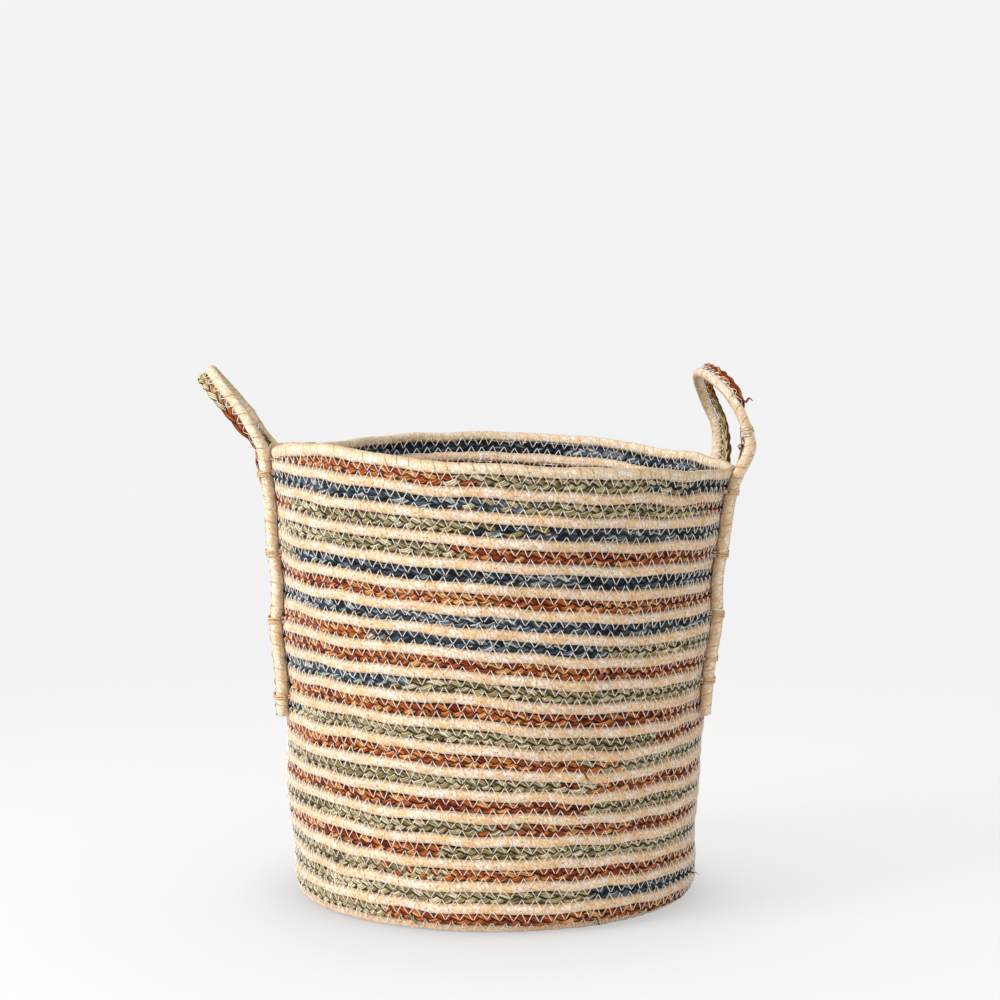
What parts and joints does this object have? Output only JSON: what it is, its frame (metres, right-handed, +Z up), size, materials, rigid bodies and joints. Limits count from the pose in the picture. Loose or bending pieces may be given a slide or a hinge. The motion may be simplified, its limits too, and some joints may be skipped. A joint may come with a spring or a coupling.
{
  "type": "coiled storage basket",
  "caption": "Round storage basket wound from a wrapped leaf cord and a coloured plait laid side by side, open at the top, with strap handles lashed to its sides.",
  "frame": {"origin": "middle of the underside of the base, on the plane the basket stands on", "axes": "+Z up out of the mouth, -Y towards the front that the picture shows, -X and +X towards the handles"},
  "size_m": [0.4364, 0.3673, 0.4195],
  "materials": {
    "natural_leaf": "matt wrapped husk leaf, undyed",
    "rust_leaf": "matt plaited leaf, dyed rust",
    "navy_leaf": "matt plaited leaf, dyed navy",
    "sage_leaf": "matt plaited leaf, dyed sage",
    "twine": "twisted husk twine, matt"
  },
  "bodies": {
    "basket": {"base_centre_knot": "natural_leaf", "base_cord": "natural_leaf", "base_plait": "sage_leaf", "wall_cord": "natural_leaf", "rim_cord": "natural_leaf", "wall_plait_lower": "rust_leaf", "wall_plait_upper": "navy_leaf", "left_front_leg_cord": "natural_leaf", "left_front_leg_plait": "rust_leaf", "left_front_tie_1": "twine", "left_front_tie_2": "twine", "left_front_tie_3": "twine", "left_front_tie_4": "twine", "left_rear_leg_cord": "natural_leaf", "left_rear_leg_plait": "rust_leaf", "left_rear_tie_1": "twine", "left_rear_tie_2": "twine", "left_rear_tie_3": "twine", "left_rear_tie_4": "twine", "right_front_leg_cord": "natural_leaf", "right_front_leg_plait": "rust_leaf", "right_front_tie_1": "twine", "right_front_tie_2": "twine", "right_front_tie_3": "twine", "right_front_tie_4": "twine", "right_front_tie_5": "twine", "right_rear_leg_cord": "natural_leaf", "right_rear_leg_plait": "rust_leaf", "right_rear_tie_1": "twine", "right_rear_tie_2": "twine", "right_rear_tie_3": "twine", "right_rear_tie_4": "twine"},
    "left_handle": {"left_loop_cord": "natural_leaf", "left_loop_plait": "rust_leaf"},
    "right_handle": {"right_loop_cord": "natural_leaf", "right_loop_plait": "rust_leaf"}
  },
  "joints": [
    {"name": "left_handle_fold", "type": "hinge", "parent": "basket", "child": "left_handle", "pos_m": [-0.18293, -0.00342, 0.3575], "axis": [-0.0855, 0.9963, 0], "range_deg": [-40, 65]},
    {"name": "right_handle_fold", "type": "hinge", "parent": "basket", "child": "right_handle", "pos_m": [0.18977, 0.0047, 0.354], "axis": [0.1114, -0.9938, 0], "range_deg": [-55, 45]}
  ]
}
